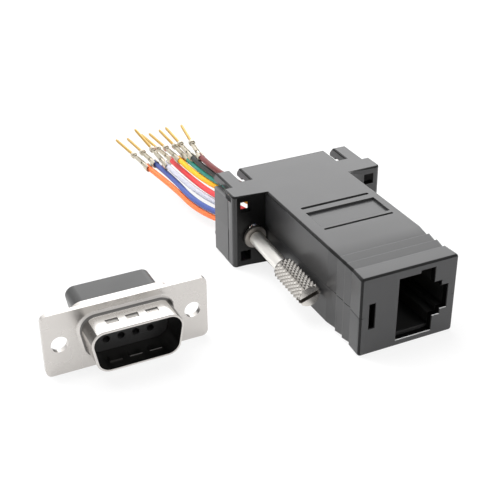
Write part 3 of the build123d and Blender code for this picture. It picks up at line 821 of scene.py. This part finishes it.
def slotted(head):
    """The head with a driver slot cut across its end, in the slot's own finish."""
    bpy.ops.mesh.primitive_cube_add(size=1, location=(0, 0, HEAD_LENGTH * MM))
    cutter = fresh("slot cutter")
    cutter.scale = (6 * MM, SLOT_WIDTH * MM, 2 * SLOT_DEPTH * MM)
    cutter.rotation_euler = (0, 0, SLOT_TURN)
    settle(cutter)
    # the slot's faces take the darker nickel of the painted slot shade
    finish_of(cutter, SLOT_SHADE_DARK_NICKEL)
    finish_of(head, NICKEL, SLOT_SHADE_DARK_NICKEL, KNURL_PAINTED_SHADE)
    # the knurl's slopes that face back to the ear take the third finish, a darker nickel that paints shade on
    # them
    for face in head.data.polygons:
        face.material_index = 2 if -0.9 < face.normal.z < -0.05 else 0
    cut = head.modifiers.new("driver slot", "BOOLEAN")
    cut.operation = "DIFFERENCE"
    cut.solver = "EXACT"
    cut.object = cutter
    cut.material_mode = "TRANSFER"
    apply_all(head)
    bpy.data.objects.remove(cutter)
    return head


def thumbscrew(side, name):
    """Captive thumbscrew: knurled slotted head, slim neck, shank and thread, laid along its drooping axis."""
    head = slotted(knurled_head())
    head.location = (0, 0, HEAD_START * MM)
    settle(head)
    neck_line = [(0.0, 0.95), (1.3, 0.95), (NECK_R, 1.15), (NECK_R, 13.0), (NECK_R, 13.4), (0.0, 13.4)]
    # the neck's near white nickel is a painted highlight
    neck = finish_of(lathe("neck", neck_line, 40), NECK_PAINTED_HIGHLIGHT)
    shank_line = [(0.0, -4.2), (SHANK_R, -4.2), (SHANK_R, 1.2), (0.0, 1.2)]
    shank = finish_of(lathe("shank", shank_line, 32), NICKEL)
    thread = finish_of(threaded_end(-12.5, -3.8, THREAD_R), NICKEL)
    piece = join(f"thumbscrew_{name}_turned", [head, neck, shank, thread])
    # the head's +Z runs along the screw toward the jack
    x = Vector((1, 0, 0))
    z = Vector((0, -math.cos(SCREW_TILT), -math.sin(SCREW_TILT)))
    base = Vector((side * SCREW_X, EAR_Y, SCREW_Z)) * MM
    piece.matrix_world = Matrix.Translation(base) @ Matrix((x, z.cross(x), z)).transposed().to_4x4()
    settle(piece)
    smooth(piece, 25)
    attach(piece, f"screw_{name}")
    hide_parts(f"thumbscrew_{name}")
    # the collars take the same darker nickel
    finish_of(nodes[f"thumbscrew_collar_{name}"], SLOT_SHADE_DARK_NICKEL)


for side, name in ((-1, "left"), (1, "right")):
    thumbscrew(side, name)

# studio

put_down()
bpy.ops.mesh.primitive_plane_add(size=6, location=(0, 0, -0.0002))
ground = fresh("studio floor")
paper = bpy.data.materials.new("pale floor")
paper.use_nodes = True
tree = paper.node_tree
tree.nodes.clear()
out = tree.nodes.new("ShaderNodeOutputMaterial")
matte = tree.nodes.new("ShaderNodeBsdfDiffuse")
matte.inputs["Color"].default_value = (0.9, 0.9, 0.9, 1)
glow = tree.nodes.new("ShaderNodeEmission")
glow.inputs["Color"].default_value = (1, 1, 1, 1)
path = tree.nodes.new("ShaderNodeLightPath")
share = tree.nodes.new("ShaderNodeMath")
share.operation = "MULTIPLY"
share.inputs[1].default_value = 0.82
blend = tree.nodes.new("ShaderNodeMixShader")
shine = tree.nodes.new("ShaderNodeMath")
shine.operation = "MULTIPLY"
shine.inputs[1].default_value = 0.9
either = tree.nodes.new("ShaderNodeMath")
either.operation = "MAXIMUM"
tree.links.new(path.outputs["Is Glossy Ray"], shine.inputs[0])
tree.links.new(path.outputs["Is Camera Ray"], either.inputs[0])
tree.links.new(shine.outputs[0], either.inputs[1])
tree.links.new(either.outputs[0], share.inputs[0])
tree.links.new(share.outputs[0], blend.inputs[0])
tree.links.new(matte.outputs[0], blend.inputs[1])
tree.links.new(glow.outputs[0], blend.inputs[2])
tree.links.new(blend.outputs[0], out.inputs[0])
ground.data.materials.append(paper)

world = bpy.data.worlds.new("studio")
scene.world = world
world.use_nodes = True
tree = world.node_tree
tree.nodes.clear()


def white(strength):
    """White light of the world's tree, at this strength."""
    node = tree.nodes.new("ShaderNodeBackground")
    node.inputs["Color"].default_value = (1, 1, 1, 1)
    node.inputs["Strength"].default_value = strength
    return node


out = tree.nodes.new("ShaderNodeOutputWorld")
seen = white(1.0)
fill = white(0.12)
mirrored = white(1.0)
# what the pieces mirror: a pale wall behind the set that fades to a dim room toward the camera
place = tree.nodes.new("ShaderNodeTexCoord")
facing = tree.nodes.new("ShaderNodeVectorMath")
facing.operation = "DOT_PRODUCT"
facing.inputs[1].default_value = (0.375, 0.779, 0.5)
fade = tree.nodes.new("ShaderNodeMapRange")
fade.inputs["From Min"].default_value = 0.45
fade.inputs["From Max"].default_value = 0.95
fade.inputs["To Min"].default_value = 0.8
fade.inputs["To Max"].default_value = 1.8
path = tree.nodes.new("ShaderNodeLightPath")
glossy = tree.nodes.new("ShaderNodeMixShader")
direct = tree.nodes.new("ShaderNodeMixShader")
clear = tree.nodes.new("ShaderNodeMath")
clear.operation = "MAXIMUM"
tree.links.new(place.outputs["Generated"], facing.inputs[0])
tree.links.new(facing.outputs["Value"], fade.inputs["Value"])
tree.links.new(fade.outputs["Result"], mirrored.inputs["Strength"])
tree.links.new(path.outputs["Is Glossy Ray"], glossy.inputs[0])
tree.links.new(fill.outputs[0], glossy.inputs[1])
tree.links.new(mirrored.outputs[0], glossy.inputs[2])
tree.links.new(path.outputs["Is Camera Ray"], clear.inputs[0])
tree.links.new(path.outputs["Is Transmission Ray"], clear.inputs[1])
tree.links.new(clear.outputs[0], direct.inputs[0])
tree.links.new(glossy.outputs[0], direct.inputs[1])
tree.links.new(seen.outputs[0], direct.inputs[2])
tree.links.new(direct.outputs[0], out.inputs[0])


def softbox(name, place, target, width, height, power, shines):
    """A rectangular soft lamp, which the pieces mirror if it shines."""
    data = bpy.data.lights.new(name, "AREA")
    data.shape = "RECTANGLE"
    data.size = width
    data.size_y = height
    data.energy = power
    lamp = bpy.data.objects.new(name, data)
    scene.collection.objects.link(lamp)
    lamp.location = place
    lamp.rotation_euler = (Vector(target) - Vector(place)).to_track_quat("-Z", "Y").to_euler()
    lamp.visible_glossy = shines


softbox("rear softbox", (0.3, 0.68, 0.42), (0, 0, 0), 0.5, 0.26, 0.55, True)
softbox("overhead softbox", (-0.12, 0.25, 0.6), (0, 0, 0), 0.6, 0.5, 7.0, False)
softbox("left softbox", (-0.4, 0.56, 0.26), (0, 0, 0.01), 0.25, 0.25, 5.2, False)
softbox("front softbox", (0.35, -0.65, 0.4), (0, 0, 0.01), 0.4, 0.4, 5.5, False)
